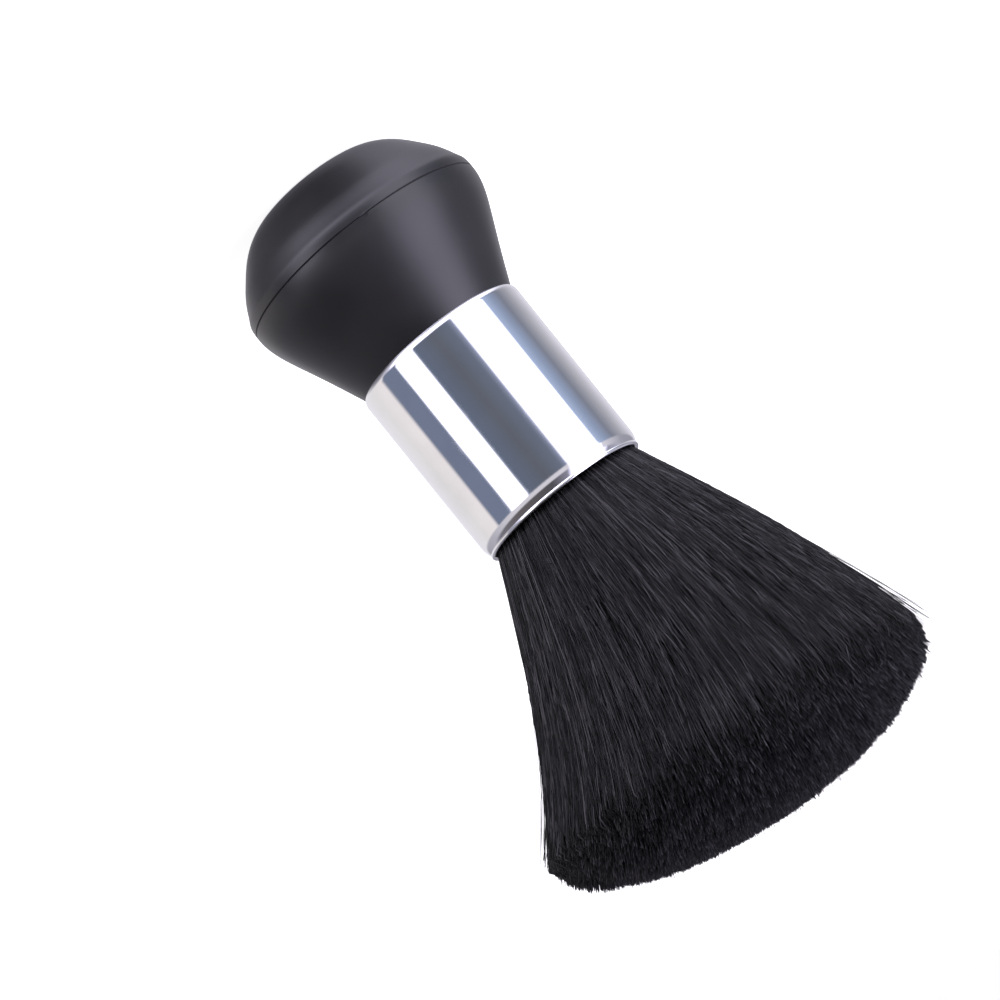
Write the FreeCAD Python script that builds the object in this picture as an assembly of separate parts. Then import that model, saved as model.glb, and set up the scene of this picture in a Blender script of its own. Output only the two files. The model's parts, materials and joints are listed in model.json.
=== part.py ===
"""Neck duster brush: a knob handle, a drawn ferrule and a flared tuft of soft bristles.

Frame: the brush stands upright on the flat end of its knob. The origin is the centre of
that flat, +Z runs along the brush's axis towards the bristle tips. Millimetres throughout.
"""
import FreeCAD, Part
import math
import os

from FreeCAD import Vector

# ---- driving dimensions -------------------------------------------------------------
KNOB_HEIGHT = 41.2          # standing flat to the ferrule's edge
FOOT_RADIUS = 12.0          # the flat that the brush stands on
GIRTH_RADIUS = 28.0         # widest part of the knob
GIRTH_Z = 17.0              # the knob's two shells meet here
NECK_RADIUS = 18.65         # knob where it meets the ferrule
KNOB_WALL = 2.4
SEAM_CHAMFER = 0.2          # each shell's edge is broken, which leaves a fine V groove
NOTCH_ANGLE = -98.5         # azimuth, in degrees, of the pry notch in the body's edge
NOTCH_RADIUS = 0.9
NOTCH_DEPTH = 0.4

FERRULE_LENGTH = 41.6
FERRULE_BASE_RADIUS = 19.35 # at the knob
FERRULE_MOUTH_RADIUS = 19.2 # at the bristles, before it is drawn in
FERRULE_WALL = 1.0
BASE_ROUND_HEIGHT = 1.4     # the sleeve's knob end is drawn in over this height
BASE_ROUND_DEPTH = 0.5
MOUTH_ROUND_HEIGHT = 2.6    # and its mouth over this one
MOUTH_ROUND_DEPTH = 0.65
LIP_HEIGHT = 0.85           # rolled lip at the bristles, beyond the drawn-in end
LIP_BULGE = 0.14            # how far the lip stands out of the drawn-in end
LIP_BULGE_HEIGHT = 0.45     # where it does, above the lip's start
LIP_TOP_RADIUS = 18.2
LIP_BORE_RADIUS = 17.5
LIP_CHAMFER = 0.2           # inside the mouth

COLLAR_RADIUS = 24.95       # the cap's locating collar, inside the body
COLLAR_WALL = 1.75
COLLAR_HEIGHT = 4.0         # above the seam
COLLAR_CLEARANCE = 0.05
COLLAR_END_GAP = 0.8
COLLAR_ROOT_Z = 13.2        # where the collar's inside meets the cap's inside
COUNTERBORE_LEDGE = 24.2    # the body's inside just above its counterbore

SPIGOT_RADIUS = 18.0        # the knob's neck inside the ferrule
SPIGOT_LENGTH = 12.4
SPIGOT_WALL = 2.35
SPIGOT_FLOOR = 2.6
SPIGOT_CHAMFER = 0.6

ADHESIVE_LOW_INSET = 1.2    # glue stops this far short of the ferrule's edge
ADHESIVE_HIGH_INSET = 1.0   # and this far short of the spigot's end
DISC_THICKNESS = 2.0
DISC_CLEARANCE = 0.15
DISC_CHAMFER = 0.3
RESIN_DEPTH = 8.0
INNER_CLEARANCE = 0.02      # between the ferrule's bore and what is cast in it

ROOT_RADIUS = 17.6          # hair inside the ferrule
ROOT_RECESS = 3.6           # fixed part of the hair stops this far below the mouth
THREAD_RADIUS = 0.45
THREAD_TURNS = 3
THREAD_PITCH = 0.95
THREAD_Z_ABOVE_RESIN = 2.5  # first turn
THREAD_PROUD = 0.1          # how far the thread stands out of the hair
THREAD_CLEARANCE = 0.05

CORE_BASE_RADIUS = 5.0
CORE_TOP_RADIUS = 7.5
CORE_RECESS = 0.6           # core's top below the root's top
CORE_FIT = 0.05
CORE_CHAMFER = 0.8

TUFT_RADIUS = 44.5
TUFT_GIRTH_HEIGHT = 60.3    # widest part of the tuft above the mouth
TUFT_LENGTH = 75.8          # mouth to the domed tip
FLARE_BASE = (18.2, 1.6)    # the hair's flare is a straight cone from just past the lip ...
FLARE_TOP = (43.6, 56.3)    # ... to where the trimmed end starts to round over
LOCK_BASE_DEPTH = 2.0       # locks start this far inside the mouth
LOCK_BASE_RADIUS = 17.0
LOCK_SHOULDER_HEIGHT = 0.3  # above the mouth, where the hair starts to spread over the lip
LOCK_COUNT = 16
GAP_AT_MOUTH = 0.22         # half the gap between neighbouring locks at the mouth
GAP_GROWTH = 0.016          # added to it per millimetre of height, so that locks can swing in
CUT_MARGIN = 12.0           # the cuts that part the locks run this far past the tuft

# ---- derived sizes ------------------------------------------------------------------
MOUTH_Z = KNOB_HEIGHT + FERRULE_LENGTH
SPIGOT_TOP = KNOB_HEIGHT + SPIGOT_LENGTH
DISC_TOP = SPIGOT_TOP + DISC_THICKNESS
RESIN_TOP = DISC_TOP + RESIN_DEPTH
ROOT_TOP = MOUTH_Z - ROOT_RECESS
CORE_TOP = ROOT_TOP - CORE_RECESS

# ---- outlines, as (radius, height) --------------------------------------------------
CAP_OUTLINE = [(FOOT_RADIUS, 0.0), (17.1, 1.4), (20.45, 3.95), (23.5, 7.5), (25.85, 10.8),
               (27.45, 14.0), (GIRTH_RADIUS, GIRTH_Z)]
BODY_OUTLINE = [(GIRTH_RADIUS, GIRTH_Z), (27.5, 20.6), (25.3, 26.2), (22.95, 31.3),
                (20.75, 36.3), (NECK_RADIUS, KNOB_HEIGHT)]
# Heights in the trimmed end's outline are above the mouth.
DOME_OUTLINE = [FLARE_TOP, (TUFT_RADIUS, TUFT_GIRTH_HEIGHT), (41.9, 64.8), (35.4, 69.1),
                (25.0, 72.9), (12.6, 75.1), (0.0, TUFT_LENGTH)]

UP = Vector(0, 0, 1)
ORIGIN = Vector(0, 0, 0)


def at(radius, height):
    """A point of a turned outline."""
    return Vector(radius, 0, height)


def smooth_edge(points, start_direction=None, end_direction=None):
    """One smooth curve through the points, with the end directions where they are given."""
    curve = Part.BSplineCurve()
    vectors = [at(radius, height) for radius, height in points]
    if start_direction and end_direction:
        curve.interpolate(Points=vectors, InitialTangent=at(*start_direction),
                          FinalTangent=at(*end_direction))
    else:
        curve.interpolate(Points=vectors)
    return curve.toShape()


def lines(*points):
    """Straight edges from point to point."""
    ends = zip(points, points[1:])
    return [Part.makeLine(at(*first), at(*second)) for first, second in ends]


def arc(first, middle, last):
    return Part.Arc(at(*first), at(*middle), at(*last)).toShape()


def turned(edges):
    """The solid that a closed outline sweeps around the brush's axis."""
    ordered = Part.__sortEdges__(edges)
    face = Part.Face(Part.Wire(ordered))
    solid = face.revolve(ORIGIN, UP, 360)
    if solid.Volume < 0:
        solid.reverse()
    return solid


def ring(*points):
    """A turned solid with a straight-sided section."""
    return turned(lines(*points, points[0]))


def inset(points, distance):
    """The points of an outline moved in, square to the outline, by a wall's thickness."""
    moved = []
    last = len(points) - 1
    for index, (radius, height) in enumerate(points):
        before = points[max(index - 1, 0)]
        after = points[min(index + 1, last)]
        run = after[0] - before[0]
        rise = after[1] - before[1]
        length = math.hypot(run, rise)
        moved.append((radius - distance * rise / length, height + distance * run / length))
    return moved


def bore_radius(height):
    """The ferrule's inner radius, which narrows towards the bristles."""
    share = (height - KNOB_HEIGHT) / FERRULE_LENGTH
    outer = FERRULE_BASE_RADIUS + share * (FERRULE_MOUTH_RADIUS - FERRULE_BASE_RADIUS)
    return outer - FERRULE_WALL


def direction(first, second):
    """From one point of an outline towards the next, as (radius, height)."""
    return second[0] - first[0], second[1] - first[1]


# ---- handle -------------------------------------------------------------------------
def knob_cap():
    """Domed end shell: the standing flat, the rounded shoulder and a locating collar."""
    rim = (GIRTH_RADIUS, GIRTH_Z - SEAM_CHAMFER)
    outside = smooth_edge(CAP_OUTLINE[:-1] + [rim], (1, 0), (0, 1))
    collar_top = GIRTH_Z + COLLAR_HEIGHT
    collar_inner = COLLAR_RADIUS - COLLAR_WALL
    collar_root = (collar_inner, COLLAR_ROOT_Z)
    shoulder = inset(CAP_OUTLINE, KNOB_WALL)[1:4]
    inside = smooth_edge([(FOOT_RADIUS, KNOB_WALL)] + shoulder + [collar_root])
    rest = lines(rim, (GIRTH_RADIUS - SEAM_CHAMFER, GIRTH_Z), (COLLAR_RADIUS, GIRTH_Z),
                 (COLLAR_RADIUS, collar_top), (collar_inner, collar_top), collar_root)
    floor = lines((FOOT_RADIUS, KNOB_WALL), (0, KNOB_WALL), (0, 0), (FOOT_RADIUS, 0))
    return turned([outside] + rest + [inside] + floor)


def pry_notch():
    """What is cut from the body's edge, where a blade would lift the cap off."""
    angle = math.radians(NOTCH_ANGLE)
    outward = Vector(math.cos(angle), math.sin(angle), 0)
    start = outward * (GIRTH_RADIUS - NOTCH_DEPTH) + UP * GIRTH_Z
    return Part.makeCylinder(NOTCH_RADIUS, 2 * NOTCH_DEPTH, start, outward)


def knob_body():
    """Flared shell with a counterbore for the cap's collar, a pry notch and a closed spigot."""
    rim = (GIRTH_RADIUS, GIRTH_Z + SEAM_CHAMFER)
    outside = smooth_edge([rim] + BODY_OUTLINE[1:], (0, 1), direction(*BODY_OUTLINE[-2:]))
    counterbore = COLLAR_RADIUS + COLLAR_CLEARANCE
    counterbore_top = GIRTH_Z + COLLAR_HEIGHT + COLLAR_END_GAP
    spigot_inner = SPIGOT_RADIUS - SPIGOT_WALL
    spigot_ceiling = SPIGOT_TOP - SPIGOT_FLOOR
    rest = lines((NECK_RADIUS, KNOB_HEIGHT), (SPIGOT_RADIUS, KNOB_HEIGHT),
                 (SPIGOT_RADIUS, SPIGOT_TOP - SPIGOT_CHAMFER),
                 (SPIGOT_RADIUS - SPIGOT_CHAMFER, SPIGOT_TOP), (0, SPIGOT_TOP),
                 (0, spigot_ceiling), (spigot_inner, spigot_ceiling),
                 (spigot_inner, KNOB_HEIGHT), (COUNTERBORE_LEDGE, counterbore_top),
                 (counterbore, counterbore_top), (counterbore, GIRTH_Z),
                 (GIRTH_RADIUS - SEAM_CHAMFER, GIRTH_Z), rim)
    return turned([outside] + rest).cut(pry_notch()).Solids[0]


# ---- ferrule and what is set in it --------------------------------------------------
def half_height_depth(depth, height):
    """How deep a circular rounding, tangent to the sleeve's side, is at half its height."""
    radius = (height ** 2 + depth ** 2) / (2 * depth)
    return radius - math.sqrt(radius ** 2 - (height / 2) ** 2)


def drawn_in(start, end, depth, height):
    """The circular rounding between a point of the sleeve's side and its drawn-in edge."""
    radius = start[0] - half_height_depth(depth, height)
    return arc(start, (radius, (start[1] + end[1]) / 2), end)


def ferrule():
    """Drawn sleeve, almost straight, drawn in at both ends, with a rolled lip at the bristles."""
    base_edge = (FERRULE_BASE_RADIUS - BASE_ROUND_DEPTH, KNOB_HEIGHT)
    base_side = (FERRULE_BASE_RADIUS, KNOB_HEIGHT + BASE_ROUND_HEIGHT)
    lip_start = MOUTH_Z - LIP_HEIGHT
    mouth_side = (FERRULE_MOUTH_RADIUS, lip_start - MOUTH_ROUND_HEIGHT)
    waist = (FERRULE_MOUTH_RADIUS - MOUTH_ROUND_DEPTH, lip_start)
    base_round = drawn_in(base_side, base_edge, BASE_ROUND_DEPTH, BASE_ROUND_HEIGHT)
    mouth_round = drawn_in(mouth_side, waist, MOUTH_ROUND_DEPTH, MOUTH_ROUND_HEIGHT)
    rim = (LIP_TOP_RADIUS, MOUTH_Z)
    lip = arc(waist, (waist[0] + LIP_BULGE, lip_start + LIP_BULGE_HEIGHT), rim)
    bore_top = mouth_side[1]
    inner = lines(rim, (LIP_BORE_RADIUS + LIP_CHAMFER, MOUTH_Z),
                  (LIP_BORE_RADIUS, MOUTH_Z - LIP_CHAMFER),
                  (waist[0] + LIP_BORE_RADIUS - LIP_TOP_RADIUS, lip_start),
                  (bore_radius(bore_top), bore_top),
                  (bore_radius(KNOB_HEIGHT), KNOB_HEIGHT), base_edge)
    return turned([base_round, mouth_round, lip] + lines(base_side, mouth_side) + inner)


def adhesive_ring():
    """Cured glue between the knob's spigot and the ferrule's bore."""
    low = KNOB_HEIGHT + ADHESIVE_LOW_INSET
    high = SPIGOT_TOP - ADHESIVE_HIGH_INSET
    return ring((SPIGOT_RADIUS, low), (bore_radius(low) - INNER_CLEARANCE, low),
                (bore_radius(high) - INNER_CLEARANCE, high), (SPIGOT_RADIUS, high))


def backing_disc():
    """Stiff disc that the hair bundle stands on."""
    radius = bore_radius(DISC_TOP) - DISC_CLEARANCE
    return ring((0, SPIGOT_TOP), (radius - DISC_CHAMFER, SPIGOT_TOP),
                (radius, SPIGOT_TOP + DISC_CHAMFER), (radius, DISC_TOP), (0, DISC_TOP))


def resin_plug():
    """Cast resin that locks the ends of the hair into the ferrule."""
    return ring((0, DISC_TOP), (bore_radius(DISC_TOP) - INNER_CLEARANCE, DISC_TOP),
                (bore_radius(RESIN_TOP) - INNER_CLEARANCE, RESIN_TOP), (0, RESIN_TOP))


def thread_heights():
    first = RESIN_TOP + THREAD_Z_ABOVE_RESIN
    return [first + turn * THREAD_PITCH for turn in range(THREAD_TURNS)]


def root_binding():
    """Turns of binding thread, drawn tight around the bundle."""
    centre = ROOT_RADIUS - THREAD_RADIUS + THREAD_PROUD
    return Part.makeCompound([Part.makeTorus(centre, THREAD_RADIUS, Vector(0, 0, height), UP)
                              for height in thread_heights()])


def core_radius(height):
    share = (height - RESIN_TOP) / (CORE_TOP - RESIN_TOP)
    return CORE_BASE_RADIUS + share * (CORE_TOP_RADIUS - CORE_BASE_RADIUS)


def core_plug():
    """Tapered plug in the middle of the bundle, which spreads the hair into its flare."""
    shoulder = CORE_TOP - CORE_CHAMFER
    return ring((0, RESIN_TOP), (core_radius(RESIN_TOP), RESIN_TOP),
                (core_radius(shoulder), shoulder),
                (core_radius(CORE_TOP) - CORE_CHAMFER, CORE_TOP), (0, CORE_TOP))


def bristle_root():
    """The fixed length of the hair: a dense collar waisted where the thread grips it."""
    heights = thread_heights()
    low = heights[0] - THREAD_RADIUS - THREAD_CLEARANCE
    high = heights[-1] + THREAD_RADIUS + THREAD_CLEARANCE
    waist = ROOT_RADIUS + THREAD_PROUD - 2 * THREAD_RADIUS - THREAD_CLEARANCE
    return ring((core_radius(RESIN_TOP) + CORE_FIT, RESIN_TOP), (ROOT_RADIUS, RESIN_TOP),
                (ROOT_RADIUS, low), (waist, low), (waist, high), (ROOT_RADIUS, high),
                (ROOT_RADIUS, ROOT_TOP), (core_radius(ROOT_TOP) + CORE_FIT, ROOT_TOP))


# ---- the free tuft ------------------------------------------------------------------
def tuft():
    """The whole flared and domed tuft, before it is parted into locks."""
    def raised(points):
        return [(radius, MOUTH_Z + height) for radius, height in points]
    dome = smooth_edge(raised(DOME_OUTLINE), direction(FLARE_BASE, FLARE_TOP), (-1, 0))
    rest = lines(*raised([(0, TUFT_LENGTH), (0, -LOCK_BASE_DEPTH),
                          (LOCK_BASE_RADIUS, -LOCK_BASE_DEPTH),
                          (LOCK_BASE_RADIUS, LOCK_SHOULDER_HEIGHT), FLARE_BASE, FLARE_TOP]))
    return turned([dome] + rest)


def sector_outline(height, half_angle, reach):
    """Triangle between two neighbouring partings at a height above the mouth."""
    gap = GAP_AT_MOUTH + GAP_GROWTH * max(height, 0)
    apex = gap / math.sin(half_angle)
    width = (reach - apex) * math.tan(half_angle)
    z = MOUTH_Z + height
    return Part.makePolygon([Vector(apex, 0, z), Vector(reach, -width, z),
                             Vector(reach, width, z), Vector(apex, 0, z)])


def bristle_lock(whole_tuft):
    """The lock on +X: a sector of the tuft whose sides lean away from its neighbours."""
    half_angle = math.pi / LOCK_COUNT
    reach = TUFT_RADIUS + CUT_MARGIN
    levels = [-LOCK_BASE_DEPTH - CUT_MARGIN, 0, TUFT_LENGTH + CUT_MARGIN]
    outlines = [sector_outline(level, half_angle, reach) for level in levels]
    below = Part.makeLoft(outlines[:2], True, True)
    above = Part.makeLoft(outlines[1:], True, True)
    lower_part = whole_tuft.common(below)
    upper_part = whole_tuft.common(above)
    return lower_part.fuse(upper_part).removeSplitter().Solids[0]


def bristle_locks():
    """Every lock by name, evenly round the axis."""
    first = bristle_lock(tuft())
    locks = {}
    for index in range(LOCK_COUNT):
        lock = first.copy()
        lock.rotate(ORIGIN, UP, 360 * index / LOCK_COUNT)
        locks[f"bristle_lock_{index + 1:02d}"] = lock
    return locks


# ---- output -------------------------------------------------------------------------
def subcomponents():
    shapes = {
        "knob_cap": knob_cap(),
        "knob_body": knob_body(),
        "ferrule": ferrule(),
        "adhesive_ring": adhesive_ring(),
        "backing_disc": backing_disc(),
        "resin_plug": resin_plug(),
        "root_binding": root_binding(),
        "core_plug": core_plug(),
        "bristle_root": bristle_root(),
    }
    shapes.update(bristle_locks())
    return shapes


def main():
    os.makedirs("parts", exist_ok=True)
    for name, shape in subcomponents().items():
        if not shape.isValid():
            raise RuntimeError(f"{name} is not a valid shape")
        shape.exportStep(f"parts/{name}.step")
        box = shape.optimalBoundingBox(False, False)
        print(f"{name:18s} volume {shape.Volume / 1000:8.2f} cm3  "
              f"z {box.ZMin:7.2f} to {box.ZMax:7.2f}  radius {max(box.XMax, box.YMax):6.2f}")


main()
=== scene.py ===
"""Looks of the neck duster brush: satin knob, polished ferrule and a tuft of separate bristles."""

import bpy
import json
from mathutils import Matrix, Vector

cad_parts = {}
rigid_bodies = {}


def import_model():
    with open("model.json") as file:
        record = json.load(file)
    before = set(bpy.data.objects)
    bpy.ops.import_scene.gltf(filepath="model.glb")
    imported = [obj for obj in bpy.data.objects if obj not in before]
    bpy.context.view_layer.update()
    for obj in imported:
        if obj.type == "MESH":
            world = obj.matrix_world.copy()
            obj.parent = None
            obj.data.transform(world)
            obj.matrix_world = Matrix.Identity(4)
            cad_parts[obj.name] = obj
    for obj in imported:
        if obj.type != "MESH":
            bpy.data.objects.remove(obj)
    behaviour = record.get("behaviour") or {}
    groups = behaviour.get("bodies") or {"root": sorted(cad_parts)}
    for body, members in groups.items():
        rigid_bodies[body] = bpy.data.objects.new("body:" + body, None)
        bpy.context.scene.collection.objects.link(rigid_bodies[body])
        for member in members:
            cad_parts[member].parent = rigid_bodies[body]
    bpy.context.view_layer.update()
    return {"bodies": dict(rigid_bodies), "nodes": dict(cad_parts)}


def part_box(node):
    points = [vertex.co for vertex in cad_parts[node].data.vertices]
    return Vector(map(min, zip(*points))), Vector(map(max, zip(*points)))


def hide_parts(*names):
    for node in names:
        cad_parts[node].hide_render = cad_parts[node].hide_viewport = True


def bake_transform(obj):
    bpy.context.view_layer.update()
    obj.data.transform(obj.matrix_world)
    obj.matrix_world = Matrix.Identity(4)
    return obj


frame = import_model()

import json
import math

import bpy
import numpy as np
from mathutils import Matrix, Vector, kdtree

MM = 0.001
LOCKS = sorted(name for name in frame["bodies"] if name.startswith("lock_"))

# ---- places taken from the frame, in metres ------------------------------------------
FERRULE_LOW, FERRULE_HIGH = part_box("ferrule")
LOCK_LOW, LOCK_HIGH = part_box("bristle_lock_01")
KNOB_TOP = FERRULE_LOW.z
MOUTH = FERRULE_HIGH.z
TUFT_RADIUS = LOCK_HIGH.x


# ---- node helpers --------------------------------------------------------------------
class Nodes:
    """A short way to add shader nodes and join them up."""

    def __init__(self, tree):
        self.tree = tree
        tree.nodes.clear()

    def add(self, kind, inputs=None, **settings):
        node = self.tree.nodes.new(kind)
        for name, value in settings.items():
            setattr(node, name, value)
        for name, value in (inputs or {}).items():
            self.set(node.inputs[name], value)
        return node

    def set(self, socket, value):
        if isinstance(value, bpy.types.NodeSocket):
            self.tree.links.new(value, socket)
        else:
            socket.default_value = value

    def math(self, operation, first, second=0.0):
        return self.add("ShaderNodeMath", {0: first, 1: second}, operation=operation).outputs[0]

    def mix(self, factor, first, second):
        node = self.add("ShaderNodeMix", data_type="RGBA")
        self.set(node.inputs[0], factor)
        self.set(node.inputs[6], first)
        self.set(node.inputs[7], second)
        return node.outputs[2]

    def remap(self, value, low, high, new_low=0.0, new_high=1.0, smooth=True):
        kind = "SMOOTHSTEP" if smooth else "LINEAR"
        node = self.add("ShaderNodeMapRange", {0: value, 1: low, 2: high, 3: new_low, 4: new_high},
                        interpolation_type=kind)
        return node.outputs[0]

    def noise(self, vector, scale, detail=3.0, roughness=0.5):
        node = self.add("ShaderNodeTexNoise", {"Scale": scale, "Detail": detail,
                                               "Roughness": roughness})
        self.set(node.inputs["Vector"], vector)
        return node.outputs["Fac"]

    def ramp(self, value, stops):
        node = self.add("ShaderNodeValToRGB", {0: value})
        elements = node.color_ramp.elements
        elements[0].position = stops[0][0]
        elements[0].color = stops[0][1]
        elements[1].position = stops[-1][0]
        elements[1].color = stops[-1][1]
        for place, colour in stops[1:-1]:
            elements.new(place).color = colour
        return node.outputs[0]


def new_material(name):
    material = bpy.data.materials.new(name)
    material.use_nodes = True
    nodes = Nodes(material.node_tree)
    shader = nodes.add("ShaderNodeBsdfPrincipled")
    output = nodes.add("ShaderNodeOutputMaterial")
    nodes.set(output.inputs["Surface"], shader.outputs[0])
    place = nodes.add("ShaderNodeTexCoord").outputs["Object"]
    return material, nodes, shader, place


def bump(nodes, shader, height, distance, strength=1.0):
    node = nodes.add("ShaderNodeBump", {"Height": height, "Distance": distance,
                                        "Strength": strength})
    nodes.set(shader.inputs["Normal"], node.outputs[0])


def grey(value, alpha=1.0):
    return (value, value, value, alpha)


# ---- materials -----------------------------------------------------------------------
def knob_plastic():
    """Black moulded plastic: satin, with a very fine grain and faint flow clouds."""
    material, nodes, shader, place = new_material("knob_plastic")
    cloud = nodes.noise(place, 60.0, 2.0)
    grain = nodes.noise(place, 4200.0, 2.0)
    colour = nodes.mix(nodes.remap(cloud, 0.3, 0.7), (0.0105, 0.0105, 0.012, 1),
                       (0.0145, 0.0140, 0.0155, 1))
    nodes.set(shader.inputs["Base Color"], colour)
    nodes.set(shader.inputs["Roughness"], nodes.remap(cloud, 0.25, 0.75, 0.33, 0.39))
    shader.inputs["IOR"].default_value = 1.5
    bump(nodes, shader, grain, 0.00002, 0.25)
    return material


def polished_aluminium():
    """Drawn aluminium sleeve: bright, with fine lines along its length and light handling marks."""
    material, nodes, shader, place = new_material("polished_aluminium")
    stretched = nodes.add("ShaderNodeMapping", {"Vector": place, "Scale": (1, 1, 0.012)})
    lines = nodes.noise(stretched.outputs[0], 2600.0, 4.0, 0.6)
    smudge = nodes.noise(place, 85.0, 4.0, 0.6)
    colour = nodes.mix(nodes.remap(smudge, 0.35, 0.75), (0.90, 0.905, 0.92, 1),
                       (0.84, 0.845, 0.865, 1))
    nodes.set(shader.inputs["Base Color"], colour)
    shader.inputs["Metallic"].default_value = 1.0
    marks = nodes.remap(smudge, 0.45, 0.8, 0.0, 0.07)
    nodes.set(shader.inputs["Roughness"],
              nodes.math("ADD", nodes.remap(lines, 0.3, 0.7, 0.035, 0.075), marks))
    bump(nodes, shader, lines, 0.000003, 0.35)
    return material


def cast_material(name, dark, light, roughness, scale):
    """A plain inner material with a little mottling."""
    material, nodes, shader, place = new_material(name)
    mottle = nodes.noise(place, scale, 3.0)
    nodes.set(shader.inputs["Base Color"], nodes.mix(nodes.remap(mottle, 0.3, 0.7), dark, light))
    nodes.set(shader.inputs["Roughness"], nodes.remap(mottle, 0.3, 0.7, roughness, roughness + 0.1))
    return material


def turned_wood():
    """Pale wood with its grain along the plug."""
    material, nodes, shader, place = new_material("turned_wood")
    stretched = nodes.add("ShaderNodeMapping", {"Vector": place, "Scale": (1, 1, 0.08)})
    grain = nodes.noise(stretched.outputs[0], 900.0, 4.0, 0.65)
    colour = nodes.mix(nodes.remap(grain, 0.3, 0.7), (0.44, 0.29, 0.15, 1), (0.66, 0.50, 0.31, 1))
    nodes.set(shader.inputs["Base Color"], colour)
    nodes.set(shader.inputs["Roughness"], nodes.remap(grain, 0.3, 0.7, 0.55, 0.7))
    bump(nodes, shader, grain, 0.00005, 0.4)
    return material


def twisted_thread():
    """Natural thread with a diagonal twist."""
    material, nodes, shader, place = new_material("twisted_thread")
    wave = nodes.add("ShaderNodeTexWave", {"Vector": place, "Scale": 900.0, "Distortion": 2.0},
                     bands_direction="DIAGONAL")
    colour = nodes.mix(wave.outputs["Fac"], (0.45, 0.41, 0.34, 1), (0.74, 0.70, 0.62, 1))
    nodes.set(shader.inputs["Base Color"], colour)
    shader.inputs["Roughness"].default_value = 0.8
    bump(nodes, shader, wave.outputs["Fac"], 0.0001, 0.6)
    return material


BRISTLE_BLACK = (0.0020, 0.0020, 0.0023, 1)
BRISTLE_GREY = (0.070, 0.067, 0.075, 1)
GREY_POWER = 4.5            # the higher it is, the fewer bristles are grey
# Paler colours for the trimmed end: painted light that lifts the shade the bristle tips cast on
# each other.
END_PAINTED_LIGHT_BLACK = (0.011, 0.011, 0.013, 1)
END_PAINTED_LIGHT_GREY = (0.100, 0.096, 0.108, 1)
PAINTED_LIGHT_FROM = 61.0             # the paler end colours, painted light that lifts the shade among the tips, fade in between these heights, in mm above the mouth
PAINTED_LIGHT_FULL = 71.0
SHUFFLE = 37.0              # turns a bristle's random number into a second one


def black_bristle():
    """Fine black nylon: each bristle a slightly different black, some duller and some shinier, with
    the trimmed end painted paler to lift the shade among its tips.
    """
    material, nodes, shader, place = new_material("black_bristle")
    own = nodes.add("ShaderNodeNewGeometry").outputs["Random Per Island"]
    paler = nodes.math("POWER", own, GREY_POWER)
    colour = nodes.mix(paler, BRISTLE_BLACK, BRISTLE_GREY)
    # The trimmed end is painted paler: painted light that lifts the shade among the tips.
    painted_light_end = nodes.mix(paler, END_PAINTED_LIGHT_BLACK, END_PAINTED_LIGHT_GREY)
    height = nodes.add("ShaderNodeSeparateXYZ", {0: place}).outputs[2]
    end = nodes.remap(height, MOUTH + PAINTED_LIGHT_FROM * MM, MOUTH + PAINTED_LIGHT_FULL * MM)
    nodes.set(shader.inputs["Base Color"], nodes.mix(end, colour, painted_light_end))
    shuffled = nodes.math("FRACT", nodes.math("MULTIPLY", own, SHUFFLE))
    nodes.set(shader.inputs["Roughness"], nodes.remap(shuffled, 0.0, 1.0, 0.26, 0.62, False))
    shader.inputs["IOR"].default_value = 1.53
    shader.inputs["Specular IOR Level"].default_value = 0.22
    return material


# ---- the tuft's shape ----------------------------------------------------------------
# Sizes are in millimetres and heights are above the ferrule's mouth.
ROOT_DEPTH = 1.2            # bristles start this far inside the ferrule
ROOT_RADIUS = 16.9          # the bundle's radius there
LIP_CLEAR = 1.8             # height at which the bundle has spread past the lip
FLARE_RADIUS = 18.45        # the bundle's radius there
FLARE_SLOPE = 0.457         # radius gained per millimetre of height beyond it
GIRTH_HEIGHT = 60.0         # where the trimmed end starts to round over
TIP_POINT = 0.35            # length of a bristle's rounded end beyond its last ring
DOME_HEIGHT = (LOCK_HIGH.z - MOUTH) / MM - GIRTH_HEIGHT - TIP_POINT
DOME_POWER = 2.05           # 2 would be half an ellipse; more is flatter on top
DROOP = 4.9                 # how far the tips have bent over towards +X
DROOP_POWER = 2.6           # how late along their length they bend
DROOP_TILT = 3.0            # how far that lowers the +X edge and raises the other
TRIM_ROUNDS = 24            # rounds of halving that settle a bristle's height under the dome
WORN = 3.0                  # how much shorter the hair is at the +X edge, which takes the wear
WORN_POWER = 3              # how closely that keeps to the edge


def bundle_radius(height):
    """Radius of the whole bundle of hair at a height."""
    spread = (FLARE_RADIUS - ROOT_RADIUS) / (LIP_CLEAR + ROOT_DEPTH)
    inside = FLARE_RADIUS + spread * (height - LIP_CLEAR)
    outside = FLARE_RADIUS + FLARE_SLOPE * (height - LIP_CLEAR)
    return np.where(height < LIP_CLEAR, inside, outside)


def dome_height(radius):
    """Height of the trimmed end at a distance from the axis."""
    share = np.clip(radius / (TUFT_RADIUS / MM), 0, 1)
    return GIRTH_HEIGHT + DOME_HEIGHT * (1 - share ** DOME_POWER) ** (1 / DOME_POWER)


def dome_radius(height):
    """Radius of the trimmed end at a height, the reverse of dome_height."""
    share = np.clip((height - GIRTH_HEIGHT) / DOME_HEIGHT, 0, 1)
    return TUFT_RADIUS / MM * (1 - share ** DOME_POWER) ** (1 / DOME_POWER)


def trimmed_height(share):
    """Where a bristle meets the trimmed end. share is its radial place, 0 centre to 1 edge."""
    height = np.full_like(share, GIRTH_HEIGHT)
    for _ in range(TRIM_ROUNDS):
        height = 0.5 * height + 0.5 * dome_height(share * bundle_radius(height))
    return height


def worn(share, azimuth):
    """How much shorter than the even dome a bristle is at a place in the section."""
    return WORN * np.clip(share * np.cos(azimuth), 0, None) ** WORN_POWER


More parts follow.
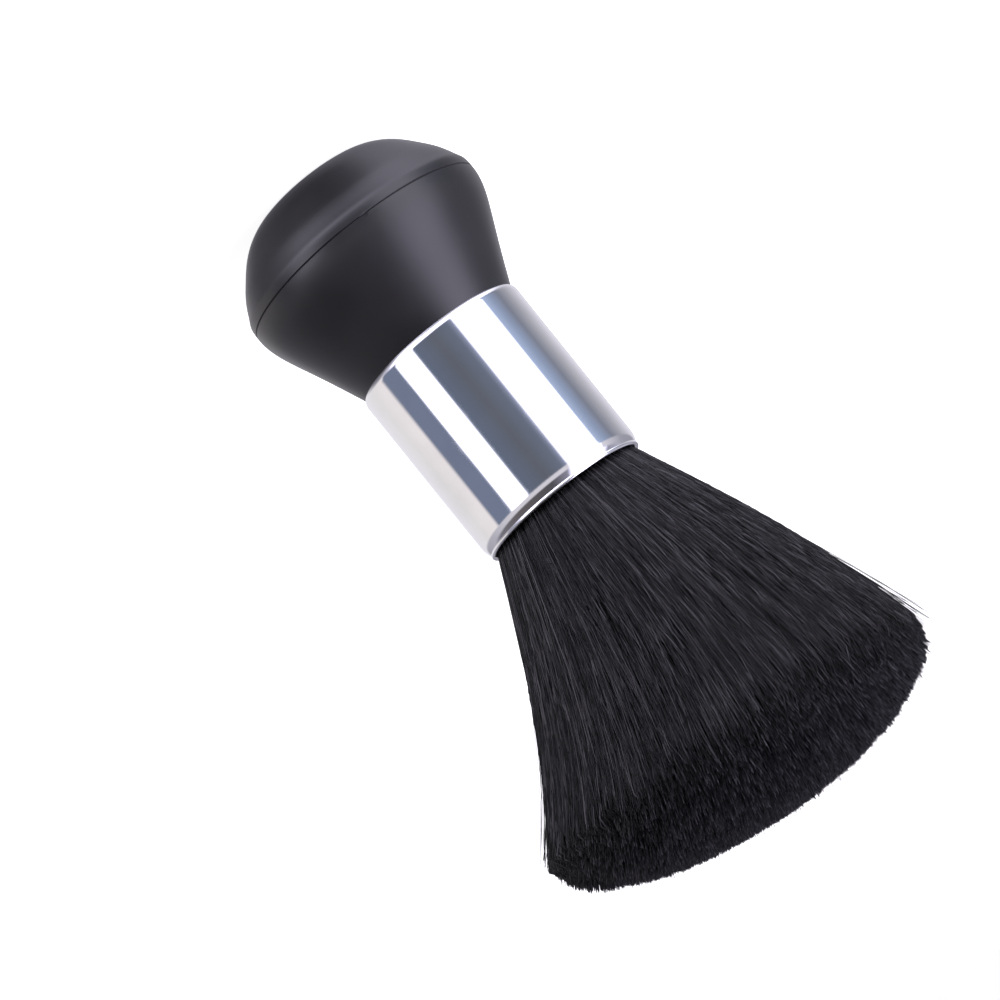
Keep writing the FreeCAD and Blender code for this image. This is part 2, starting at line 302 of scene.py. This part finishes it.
def drooped(points):
    """Bends the hair over towards +X, as it is after use. points are above the mouth."""
    x, y, height = points[..., 0], points[..., 1], points[..., 2]
    bend = np.clip(height / GIRTH_HEIGHT, 0, None) ** DROOP_POWER
    drop = DROOP_TILT * bend * x / (TUFT_RADIUS / MM)
    return np.stack([x + DROOP * bend, y, height - drop], -1)


# ---- bristles ------------------------------------------------------------------------
SEED = 41
BRISTLE_RADIUS = 0.105
THICK_SPREAD = 0.5          # spread of the bristles' thickness, as a share of it
FINE_FROM = 0.7             # a bristle gets finer over the last part of its length ...
FINE_TIP = 0.25             # ... by this share of its thickness
BROAD_CLUMPS = 120          # wide locks of hair, and small tufts that cling together
FINE_CLUMPS = 1500
BROAD_PULL = 0.14           # how far a tip is drawn to the middle of its clump, as a share
BROAD_SPREAD = 0.4          # of the way, and how much that differs between bristles
FINE_PULL = 0.20
FINE_SPREAD = 1.4
TIP_ASIDE = 0.042           # spread of the tips sideways and inwards, as a share of the radius
TIP_INWARDS = 0.012
GATHER_POWER = 1.25         # how late along their length the tips' shifts take effect
GATHER_LIMIT = 1.2
SWING = 0.27                # size of the waves across the surface, in mm ...
DIVE = 0.55                 # ... and under it
WAVES_LEAST = 0.6           # the fewest waves that a bristle has, as a share of its layer's ...
WAVES_SPREAD = 0.8          # ... and how much that differs between bristles
HELD = 1 / 9                # part of the length, from the mouth, over which the waves fade in
LONG_TIPS = 0.02            # share of the tips that the trimming has left up to 1 mm long
# Each layer of bristles: how many, the innermost share of the section that it fills, the part
# of the length at which it starts, its rings along the length, how many waves its bristles
# have over their length, how much they wander and how thick they are.
LAYERS = {
    "skin": dict(count=4800, inner=0.86, begin=0.0, rings=7, waves=1.4, wander=1.0, thick=1.0),
    "core": dict(count=2800, inner=0.0, begin=0.0, rings=4, waves=0.3, wander=0.8, thick=1.1),
    "infill": dict(count=3600, inner=0.80, begin=0.38, rings=4, waves=1.1, wander=1.5, thick=1.0),
    "ends": dict(count=20000, inner=0.0, begin=0.80, rings=2, waves=0.3, wander=1.0, thick=1.0),
    "strays": dict(count=640, inner=0.97, begin=0.0, rings=8, waves=1.2, wander=2.2, thick=0.6),
}
STRAY_EDGE = 0.013          # how far past the bundle's edge a tip may wander, as a share of it
STRAY_POWER = 1.5           # the higher it is, the fewer tips wander far
UNEVEN_TIPS = 0.17          # spread of the tips' lengths on the dome ...
UNEVEN_SHOULDER = 0.7       # ... and what is added to it at the shoulder
SHOULDER_FROM = 0.8         # where the shoulder starts, as a share of the section
MINGLING = 0.2              # spread of the edges between locks, as a share of a lock's width
# Bristles of the skin come to the surface for a short way and go under again.
SURFACED = 13500
SURFACED_LENGTH = 13.0      # they are from half to one and a half times as long as this
SURFACED_THINNEST = 0.7     # share of the bristles' thickness that the thinnest of them have ...
SURFACED_THICKER = 0.6      # ... and how much thicker the others may be
SURFACED_DEPTH = 0.55       # how deep their two ends are ...
SURFACED_SPREAD = 0.28      # ... and how much deeper some of them lie
SURFACED_SLEW = 0.06        # spread of their slope across the surface
SURFACED_TOP = 59.0         # middle of the highest ones on the flare
SURFACED_PAST = 6.0         # how far some of them reach over the shoulder ...
PAST_SHARE = 0.25           # ... and how many do
SURFACED_LOWEST = 0.4       # none of them start lower than this
# A few loose bristles stand off the surface.
FRAYED = 280
FRAYED_RINGS = 5
FRAYED_FROM = 12.0          # lowest and highest places where they leave the surface
FRAYED_TO = 48.0
FRAYED_TIPS = 5.0           # spread of their tips' heights, most of it below the shoulder
FRAYED_BELOW = 4.0
FRAYED_DEPTH = 0.5          # how deep they start
FRAYED_LIFT = 2.0           # how far off the surface their tips may be ...
FRAYED_CURVE = 1.5          # ... and how late along their length they lift
FRAYED_TURN = 0.03          # spread of their tips sideways, in radians
FRAYED_THICK = 0.55


def section_place(share, azimuth):
    return np.stack([share * np.cos(azimuth), share * np.sin(azimuth)], -1)


def scatter(rng, count, inner):
    """Places in the unit section, even over the ring between inner and the edge."""
    share = np.sqrt(inner ** 2 + (1 - inner ** 2) * rng.random(count))
    return share, rng.random(count) * 2 * math.pi


def nearest(centres, points):
    tree = kdtree.KDTree(len(centres))
    for index, (x, y) in enumerate(centres):
        tree.insert((x, y, 0), index)
    tree.balance()
    return np.array([tree.find((x, y, 0))[1] for x, y in points])


def clump_pull(rng, flat, count, strength, spread):
    """For each bristle the shift, in the unit section, that draws its tip to its clump."""
    centres = section_place(*scatter(np.random.default_rng(count), count, 0.0))
    target = centres[nearest(centres, flat)]
    amount = strength * (1 + spread * (rng.random(len(flat)) - 0.5))
    return (target - flat) * amount[:, None]


def tip_shift(rng, flat, wander):
    """How far each bristle's tip has moved across the section from straight above its root."""
    shift = clump_pull(rng, flat, BROAD_CLUMPS, BROAD_PULL, BROAD_SPREAD)
    shift += clump_pull(rng, flat, FINE_CLUMPS, FINE_PULL, FINE_SPREAD)
    outward = flat / np.clip(np.linalg.norm(flat, axis=1, keepdims=True), 1e-6, None)
    across = np.stack([-outward[:, 1], outward[:, 0]], -1)
    shift += across * rng.normal(0, TIP_ASIDE * wander, (len(flat), 1))
    shift -= outward * np.abs(rng.normal(0, TIP_INWARDS, (len(flat), 1)))
    reach = np.clip(np.linalg.norm(flat + shift, axis=1, keepdims=True), 1e-6, None)
    edge = 1.0 + STRAY_EDGE * wander ** 2 * rng.random((len(flat), 1)) ** STRAY_POWER
    return (flat + shift) * np.minimum(1, edge / reach) - flat


def ring_heights(tip, begin, rings):
    """Heights of each bristle's rings: the root, one just past the lip, then evenly to the tip."""
    if begin > 0:
        along = np.linspace(begin, 1, rings)[None, :]
        return along * tip[:, None]
    upper = np.linspace(0, 1, rings - 1)[None, :]
    body = LIP_CLEAR + upper * (tip[:, None] - LIP_CLEAR)
    return np.concatenate([np.full((len(tip), 1), -ROOT_DEPTH), body], 1)


def weave(rng, flat, along, layer):
    """Waves across and under the surface of the bundle, in millimetres, as (bristle, ring, xy)."""
    count = len(flat)
    outward = (flat / np.clip(np.linalg.norm(flat, axis=1, keepdims=True), 1e-6, None))[:, None]
    across = np.stack([-outward[..., 1], outward[..., 0]], -1)
    phase = rng.random((2, count, 1)) * 2 * math.pi
    turns = 2 * math.pi * layer["waves"] * (WAVES_LEAST + WAVES_SPREAD * rng.random((2, count, 1)))
    swing = rng.normal(0, SWING * layer["wander"], (count, 1))
    dive = np.abs(rng.normal(0, DIVE, (count, 1)))
    sideways = swing * (np.sin(phase[0] + turns[0] * along) - np.sin(phase[0]))
    inwards = dive * 0.5 * (1 - np.cos(phase[1] + turns[1] * along))
    freed = np.clip(along / HELD, 0, 1)
    return (across * sideways[..., None] - outward * inwards[..., None]) * freed[..., None]


def bristle_paths(rng, share, azimuth, layer):
    """Centre lines, shape (bristle, ring, xyz) in millimetres above the mouth."""
    count = len(share)
    flat = section_place(share, azimuth)
    shoulder = np.clip((share - SHOULDER_FROM) / (1 - SHOULDER_FROM), 0, 1)
    uneven = UNEVEN_TIPS + UNEVEN_SHOULDER * shoulder
    tip = trimmed_height(share) - worn(share, azimuth) + uneven * rng.normal(0, 1, count)
    tip += np.where(rng.random(count) < LONG_TIPS * layer["wander"] ** 2, rng.random(count), 0)
    height = ring_heights(tip, layer["begin"], layer["rings"])
    gather = np.clip(height / GIRTH_HEIGHT, 0, GATHER_LIMIT) ** GATHER_POWER
    place = flat[:, None, :] + tip_shift(rng, flat, layer["wander"])[:, None, :] * gather[..., None]
    along = np.clip(height / GIRTH_HEIGHT, 0, None)
    xy = place * bundle_radius(height)[..., None] + weave(rng, flat, along, layer)
    return np.concatenate([xy, height[..., None]], -1)


def surfaced_paths(rng, azimuth):
    """Short lengths of bristle that arch up to the flare's surface and go under again."""
    count = len(azimuth)
    narrow = FLARE_RADIUS ** 2
    wide = bundle_radius(SURFACED_TOP) ** 2
    girth = np.sqrt(narrow + (wide - narrow) * rng.random(count))
    middle = LIP_CLEAR + (girth - FLARE_RADIUS) / FLARE_SLOPE
    middle += SURFACED_PAST * rng.random(count) * (rng.random(count) < PAST_SHARE)
    length = SURFACED_LENGTH * (0.5 + rng.random(count))
    reach = length[:, None] * np.array([-0.5, 0.0, 0.5])
    height = np.clip(middle[:, None] + reach, SURFACED_LOWEST, SURFACED_TOP + SURFACED_PAST)
    sunk = np.abs(rng.normal(0, SURFACED_SPREAD, (count, 1)))
    depth = sunk + SURFACED_DEPTH * np.array([1, 0, 1])
    dome = dome_radius(height + worn(1.0, azimuth)[:, None])
    radius = np.minimum(bundle_radius(height), dome) - BRISTLE_RADIUS - depth
    turn = azimuth[:, None] + rng.normal(0, SURFACED_SLEW, (count, 1)) * reach / radius
    return np.stack([radius * np.cos(turn), radius * np.sin(turn), height], -1)


def frayed_paths(rng, azimuth):
    """Loose bristles that stand off the flare's surface towards the trimmed end."""
    count = len(azimuth)
    rise = np.linspace(0, 1, FRAYED_RINGS)
    start = FRAYED_FROM + (FRAYED_TO - FRAYED_FROM) * rng.random((count, 1))
    top = GIRTH_HEIGHT - FRAYED_BELOW + FRAYED_TIPS * rng.random((count, 1))
    top -= worn(1.0, azimuth)[:, None]
    height = start + (top - start) * rise
    lift = FRAYED_LIFT * rng.random((count, 1)) * rise ** FRAYED_CURVE
    radius = bundle_radius(height) - FRAYED_DEPTH * (1 - rise) + lift
    turn = azimuth[:, None] + rng.normal(0, FRAYED_TURN, (count, 1)) * rise
    return np.stack([radius * np.cos(turn), radius * np.sin(turn), height], -1)


SLANT = np.array([0.37, -0.61, 0.70])       # any direction that no bristle follows


def tube_points(paths, radii):
    """Three corners on every ring of each tube and its point, as (bristle, corner, xyz)."""
    direction = np.gradient(paths, axis=1)
    direction /= np.linalg.norm(direction, axis=2, keepdims=True)
    side = np.cross(direction, SLANT)
    side /= np.linalg.norm(side, axis=2, keepdims=True)
    other = np.cross(direction, side)
    corners = []
    for corner in range(3):
        angle = 2 * math.pi * corner / 3
        offset = math.cos(angle) * side + math.sin(angle) * other
        corners.append(paths + offset * radii[..., None])
    body = np.stack(corners, 2).reshape(len(paths), -1, 3)
    point = paths[:, -1:] + direction[:, -1:] * TIP_POINT
    return np.concatenate([body, point], 1)


def tube_faces(rings, tip):
    """The quads and triangles of one tube. tip is the index of its point."""
    quads = []
    for ring in range(rings - 1):
        for corner in range(3):
            after = (corner + 1) % 3
            low = 3 * ring
            quads.append([low + corner, low + after, low + 3 + after, low + 3 + corner])
    last = 3 * (rings - 1)
    triangles = [[last + corner, last + (corner + 1) % 3, tip] for corner in range(3)]
    triangles.append([2, 1, 0])
    return np.array(quads), np.array(triangles)


def tube_mesh(name, paths, radii):
    """One mesh of closed three-sided tubes, each with a short rounded point at its free end."""
    points = tube_points(paths, radii)
    count, per_bristle, _ = points.shape
    quads, triangles = tube_faces(paths.shape[1], per_bristle - 1)
    base = np.arange(count)[:, None, None] * per_bristle
    quads = (base + quads[None]).reshape(-1, 4)
    triangles = (base + triangles[None]).reshape(-1, 3)
    return mesh_from(name, points.reshape(-1, 3), quads, triangles)


def mesh_from(name, points, quads, triangles):
    """A smooth mesh from points in millimetres and the indices of its faces' corners."""
    mesh = bpy.data.meshes.new(name)
    mesh.vertices.add(len(points))
    mesh.vertices.foreach_set("co", (points * MM).astype(np.float32).ravel())
    loops = np.concatenate([quads.ravel(), triangles.ravel()]).astype(np.int32)
    sizes = np.concatenate([np.full(len(quads), 4), np.full(len(triangles), 3)]).astype(np.int32)
    starts = np.concatenate([[0], np.cumsum(sizes)[:-1]]).astype(np.int32)
    mesh.loops.add(len(loops))
    mesh.loops.foreach_set("vertex_index", loops)
    mesh.polygons.add(len(sizes))
    mesh.polygons.foreach_set("loop_start", starts)
    mesh.polygons.foreach_set("use_smooth", np.ones(len(sizes), bool))
    mesh.update(calc_edges=True)
    mesh.validate()
    return mesh


def lift_to_mouth(paths):
    """Bends the hair over and puts it in its place above the mouth."""
    lifted = drooped(paths)
    lifted[..., 2] += MOUTH / MM
    return lifted


def sector_of(rng, azimuth):
    """The lock that each bristle is grouped with. Neighbouring locks mingle at their edges."""
    width = 2 * math.pi / len(LOCKS)
    mingled = azimuth / width + rng.normal(0, MINGLING, len(azimuth))
    return np.round(mingled).astype(int) % len(LOCKS)


def joined(name, meshes, material):
    """One object from several meshes of bristles."""
    objects = []
    for index, mesh in enumerate(meshes):
        item = bpy.data.objects.new(name if index == 0 else f"{name}_{index}", mesh)
        bpy.context.scene.collection.objects.link(item)
        item.data.materials.append(material)
        objects.append(item)
    with bpy.context.temp_override(active_object=objects[0], selected_editable_objects=objects):
        bpy.ops.object.join()
    return objects[0]


def ring_radii(rng, count, layer):
    """Bristle radius at each ring: full most of the way, a little finer at the tip."""
    spread = 1 - THICK_SPREAD / 2 + THICK_SPREAD * rng.random((count, 1))
    along = np.linspace(layer["begin"], 1, layer["rings"])[None, :]
    finer = FINE_TIP * np.clip((along - FINE_FROM) / (1 - FINE_FROM), 0, 1)
    return BRISTLE_RADIUS * layer["thick"] * spread * (1 - finer)


def grown_layers():
    """Every layer's bristles as (sector, centre lines, radii)."""
    rng = np.random.default_rng(SEED)
    layers = []
    for layer in LAYERS.values():
        share, azimuth = scatter(rng, layer["count"], layer["inner"])
        paths = lift_to_mouth(bristle_paths(rng, share, azimuth, layer))
        layers.append((sector_of(rng, azimuth), paths, ring_radii(rng, layer["count"], layer)))
    azimuth = rng.random(SURFACED) * 2 * math.pi
    paths = lift_to_mouth(surfaced_paths(rng, azimuth))
    thickness = SURFACED_THINNEST + SURFACED_THICKER * rng.random((SURFACED, 1))
    radii = BRISTLE_RADIUS * thickness * np.ones((1, 3))
    layers.append((sector_of(rng, azimuth), paths, radii))
    azimuth = rng.random(FRAYED) * 2 * math.pi
    paths = lift_to_mouth(frayed_paths(rng, azimuth))
    radii = FRAYED_THICK * BRISTLE_RADIUS * np.ones((FRAYED, FRAYED_RINGS))
    layers.append((sector_of(rng, azimuth), paths, radii))
    return layers


def make_tuft():
    """Sixteen meshes of bristles, one for each lock."""
    material = black_bristle()
    layers = grown_layers()
    for index, lock in enumerate(LOCKS):
        name = f"bristles_{index + 1:02d}"
        meshes = [tube_mesh(name, paths[sector == index], radii[sector == index])
                  for sector, paths, radii in layers]
        piece = joined(name, meshes, material)
        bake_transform(piece)
        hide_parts(f"bristle_{lock}")


# ---- the CAD parts' finishes ---------------------------------------------------------
def finish_nodes():
    """A finish for every CAD part that stays in the visual model."""
    looks = {
        "knob_cap": knob_plastic(),
        "ferrule": polished_aluminium(),
        "adhesive_ring": cast_material("cured_glue", (0.5, 0.42, 0.26, 1), (0.62, 0.55, 0.38, 1),
                                       0.35, 300.0),
        "backing_disc": cast_material("grey_disc", grey(0.2), grey(0.3), 0.5, 500.0),
        "resin_plug": cast_material("cast_resin", (0.3, 0.22, 0.1, 1), (0.42, 0.32, 0.17, 1),
                                    0.2, 200.0),
        "root_binding": twisted_thread(),
        "core_plug": turned_wood(),
        "bristle_root": cast_material("packed_hair", grey(0.006), grey(0.016), 0.5, 2500.0),
    }
    looks["knob_body"] = looks["knob_cap"]
    for name, material in looks.items():
        node = frame["nodes"][name]
        node.data.materials.clear()
        node.data.materials.append(material)


# ---- studio --------------------------------------------------------------------------
def sky_colour(nodes, azimuth, stops):
    """Bands of the studio round the horizon. stops are (degrees from the camera, r, g, b)."""
    placed = [((degrees + 180) / 360, (r, g, b, 1)) for degrees, r, g, b in stops]
    return nodes.ramp(azimuth, placed)


def studio_world():
    """Softboxes and dark flags as a ring of light: what the metal and the plastic reflect."""
    world = bpy.data.worlds.new("studio")
    bpy.context.scene.world = world
    world.use_nodes = True
    nodes = Nodes(world.node_tree)
    direction = nodes.add("ShaderNodeTexCoord").outputs["Generated"]
    parts = nodes.add("ShaderNodeSeparateXYZ", {0: direction}).outputs
    turn = nodes.math("ARCTAN2", nodes.math("MULTIPLY", parts[0], -1.0),
                      nodes.math("MULTIPLY", parts[1], -1.0))
    azimuth = nodes.math("ADD", nodes.math("DIVIDE", turn, 2 * math.pi), 0.5)
    colour = sky_colour(nodes, azimuth, LEVEL_BANDS)
    for start, full, stops in RINGS_OF_SKY:
        ring = sky_colour(nodes, azimuth, stops)
        colour = nodes.mix(nodes.remap(parts[2], start, full), colour, ring)
    around = nodes.add("ShaderNodeBackground", {"Color": colour, "Strength": BRIGHTEST})
    plain = nodes.add("ShaderNodeBackground", {"Color": grey(1.0), "Strength": 1.0})
    seen = nodes.add("ShaderNodeLightPath").outputs["Is Camera Ray"]
    both = nodes.add("ShaderNodeMixShader")
    nodes.set(both.inputs[0], seen)
    nodes.set(both.inputs[1], around.outputs[0])
    nodes.set(both.inputs[2], plain.outputs[0])
    output = nodes.add("ShaderNodeOutputWorld")
    nodes.set(output.inputs["Surface"], both.outputs[0])


# The studio's bands, as (degrees from the camera towards -X, r, g, b), 1 being the softboxes.
BRIGHTEST = 3.0
LEVEL_BANDS = [
    (-180, 0.29, 0.285, 0.31), (-120, 0.27, 0.26, 0.26), (-92, 0.30, 0.28, 0.28),
    (-87, 0.06, 0.07, 0.10), (-61, 0.06, 0.07, 0.10), (-57, 1, 0.98, 1.15), (-33, 1, 0.98, 1.15),
    (-29, 0.045, 0.055, 0.078), (0, 0.042, 0.045, 0.056), (22, 0.05, 0.058, 0.078),
    (28, 0.09, 0.10, 0.14), (34, 1, 0.98, 1.15), (75, 1, 0.98, 1.15), (80, 0.14, 0.17, 0.24),
    (92, 0.10, 0.12, 0.17), (106, 0.075, 0.08, 0.10), (125, 0.14, 0.14, 0.155),
    (150, 0.24, 0.235, 0.26), (180, 0.29, 0.285, 0.31)]
RIM_BANDS = [
    (-180, 0.10, 0.098, 0.115), (-110, 0.16, 0.155, 0.175), (-60, 0.24, 0.23, 0.25),
    (28, 0.24, 0.23, 0.25), (38, 1, 0.98, 1.15), (75, 1, 0.98, 1.15), (84, 0.24, 0.235, 0.26),
    (120, 0.12, 0.118, 0.14), (180, 0.10, 0.098, 0.115)]
UPPER_BANDS = [
    (-180, 0.11, 0.108, 0.128), (-120, 0.07, 0.068, 0.082), (-60, 0.045, 0.040, 0.042),
    (0, 0.03, 0.029, 0.033), (25, 0.09, 0.087, 0.11), (44, 1.2, 1.16, 1.45),
    (73, 1.2, 1.16, 1.45), (93, 0.10, 0.10, 0.13), (130, 0.2, 0.195, 0.235),
    (180, 0.11, 0.108, 0.128)]
LOWER_BANDS = [
    (-180, 0.09, 0.088, 0.104), (-110, 0.08, 0.078, 0.092), (-80, 0.24, 0.23, 0.27),
    (-55, 1.2, 1.17, 1.42), (-20, 1.3, 1.27, 1.55), (10, 1.0, 0.97, 1.2), (40, 1.05, 1.02, 1.25),
    (90, 0.9, 0.88, 1.06), (125, 0.4, 0.39, 0.46), (150, 0.25, 0.245, 0.29),
    (180, 0.09, 0.088, 0.104)]
NADIR_BANDS = [
    (-180, 0.03, 0.029, 0.035), (-60, 0.02, 0.0195, 0.023), (50, 0.02, 0.0195, 0.023),
    (95, 0.05, 0.049, 0.058), (130, 0.05, 0.049, 0.058), (180, 0.03, 0.029, 0.035)]
# Each ring of the sky fades in between two heights, given as the sine of the angle above level.
RINGS_OF_SKY = [(-0.04, 0.06, RIM_BANDS), (0.24, 0.36, UPPER_BANDS), (-0.36, -0.62, LOWER_BANDS),
                (-0.83, -0.94, NADIR_BANDS)]
FLOOR_REACH = 60.0          # half the floor's width, in metres
FLOOR_GLOW = 0.88           # the floor is a back-lit table, so shadows on it stay faint


def studio_floor():
    """A wide pale floor at the foot of the brush."""
    mesh = bpy.data.meshes.new("floor")
    signs = [(-1, -1), (1, -1), (1, 1), (-1, 1)]
    mesh.from_pydata([(x * FLOOR_REACH, y * FLOOR_REACH, 0) for x, y in signs], [], [(0, 1, 2, 3)])
    floor = bpy.data.objects.new("floor", mesh)
    bpy.context.scene.collection.objects.link(floor)
    material, nodes, shader, place = new_material("floor_paper")
    tone = nodes.remap(nodes.noise(place, 3.0), 0.3, 0.7)
    nodes.set(shader.inputs["Base Color"], nodes.mix(tone, (0.95, 0.93, 0.88, 1),
                                                    (0.97, 0.95, 0.90, 1)))
    shader.inputs["Roughness"].default_value = 0.9
    shader.inputs["Emission Color"].default_value = grey(1.0)
    shader.inputs["Emission Strength"].default_value = FLOOR_GLOW
    floor.data.materials.append(material)
    floor.visible_glossy = False


# ---- camera --------------------------------------------------------------------------
CAMERA_PLACE = (0.01009, -0.7926, 0.2078)
CAMERA_RIGHT = Vector((-0.7798, 0.1043, 0.6173))
CAMERA_FORWARD = Vector((0.0, 0.986, -0.1666))
CAMERA_LENS = 144.0
CAMERA_SENSOR = 36.0


def make_camera():
    """The brush is seen from a little in front of its tips, with the picture turned on its side."""
    forward = CAMERA_FORWARD.normalized()
    right = (CAMERA_RIGHT - forward * CAMERA_RIGHT.dot(forward)).normalized()
    up = right.cross(forward)
    turn = Matrix((right, up, -forward)).transposed().to_4x4()
    camera = bpy.data.cameras.new("camera")
    camera.lens = CAMERA_LENS
    camera.sensor_width = CAMERA_SENSOR
    camera.clip_start = 0.01
    camera.clip_end = 100.0
    item = bpy.data.objects.new("camera", camera)
    item.matrix_world = Matrix.Translation(CAMERA_PLACE) @ turn
    bpy.context.scene.collection.objects.link(item)
    bpy.context.scene.camera = item


def plain_colours():
    """Colours are shown as they are, without a film look."""
    view = bpy.context.scene.view_settings
    view.view_transform = "Standard"
    view.look = "None"
    view.exposure = 0.0
    view.gamma = 1.0


make_camera()
plain_colours()
studio_world()
studio_floor()
finish_nodes()
make_tuft()
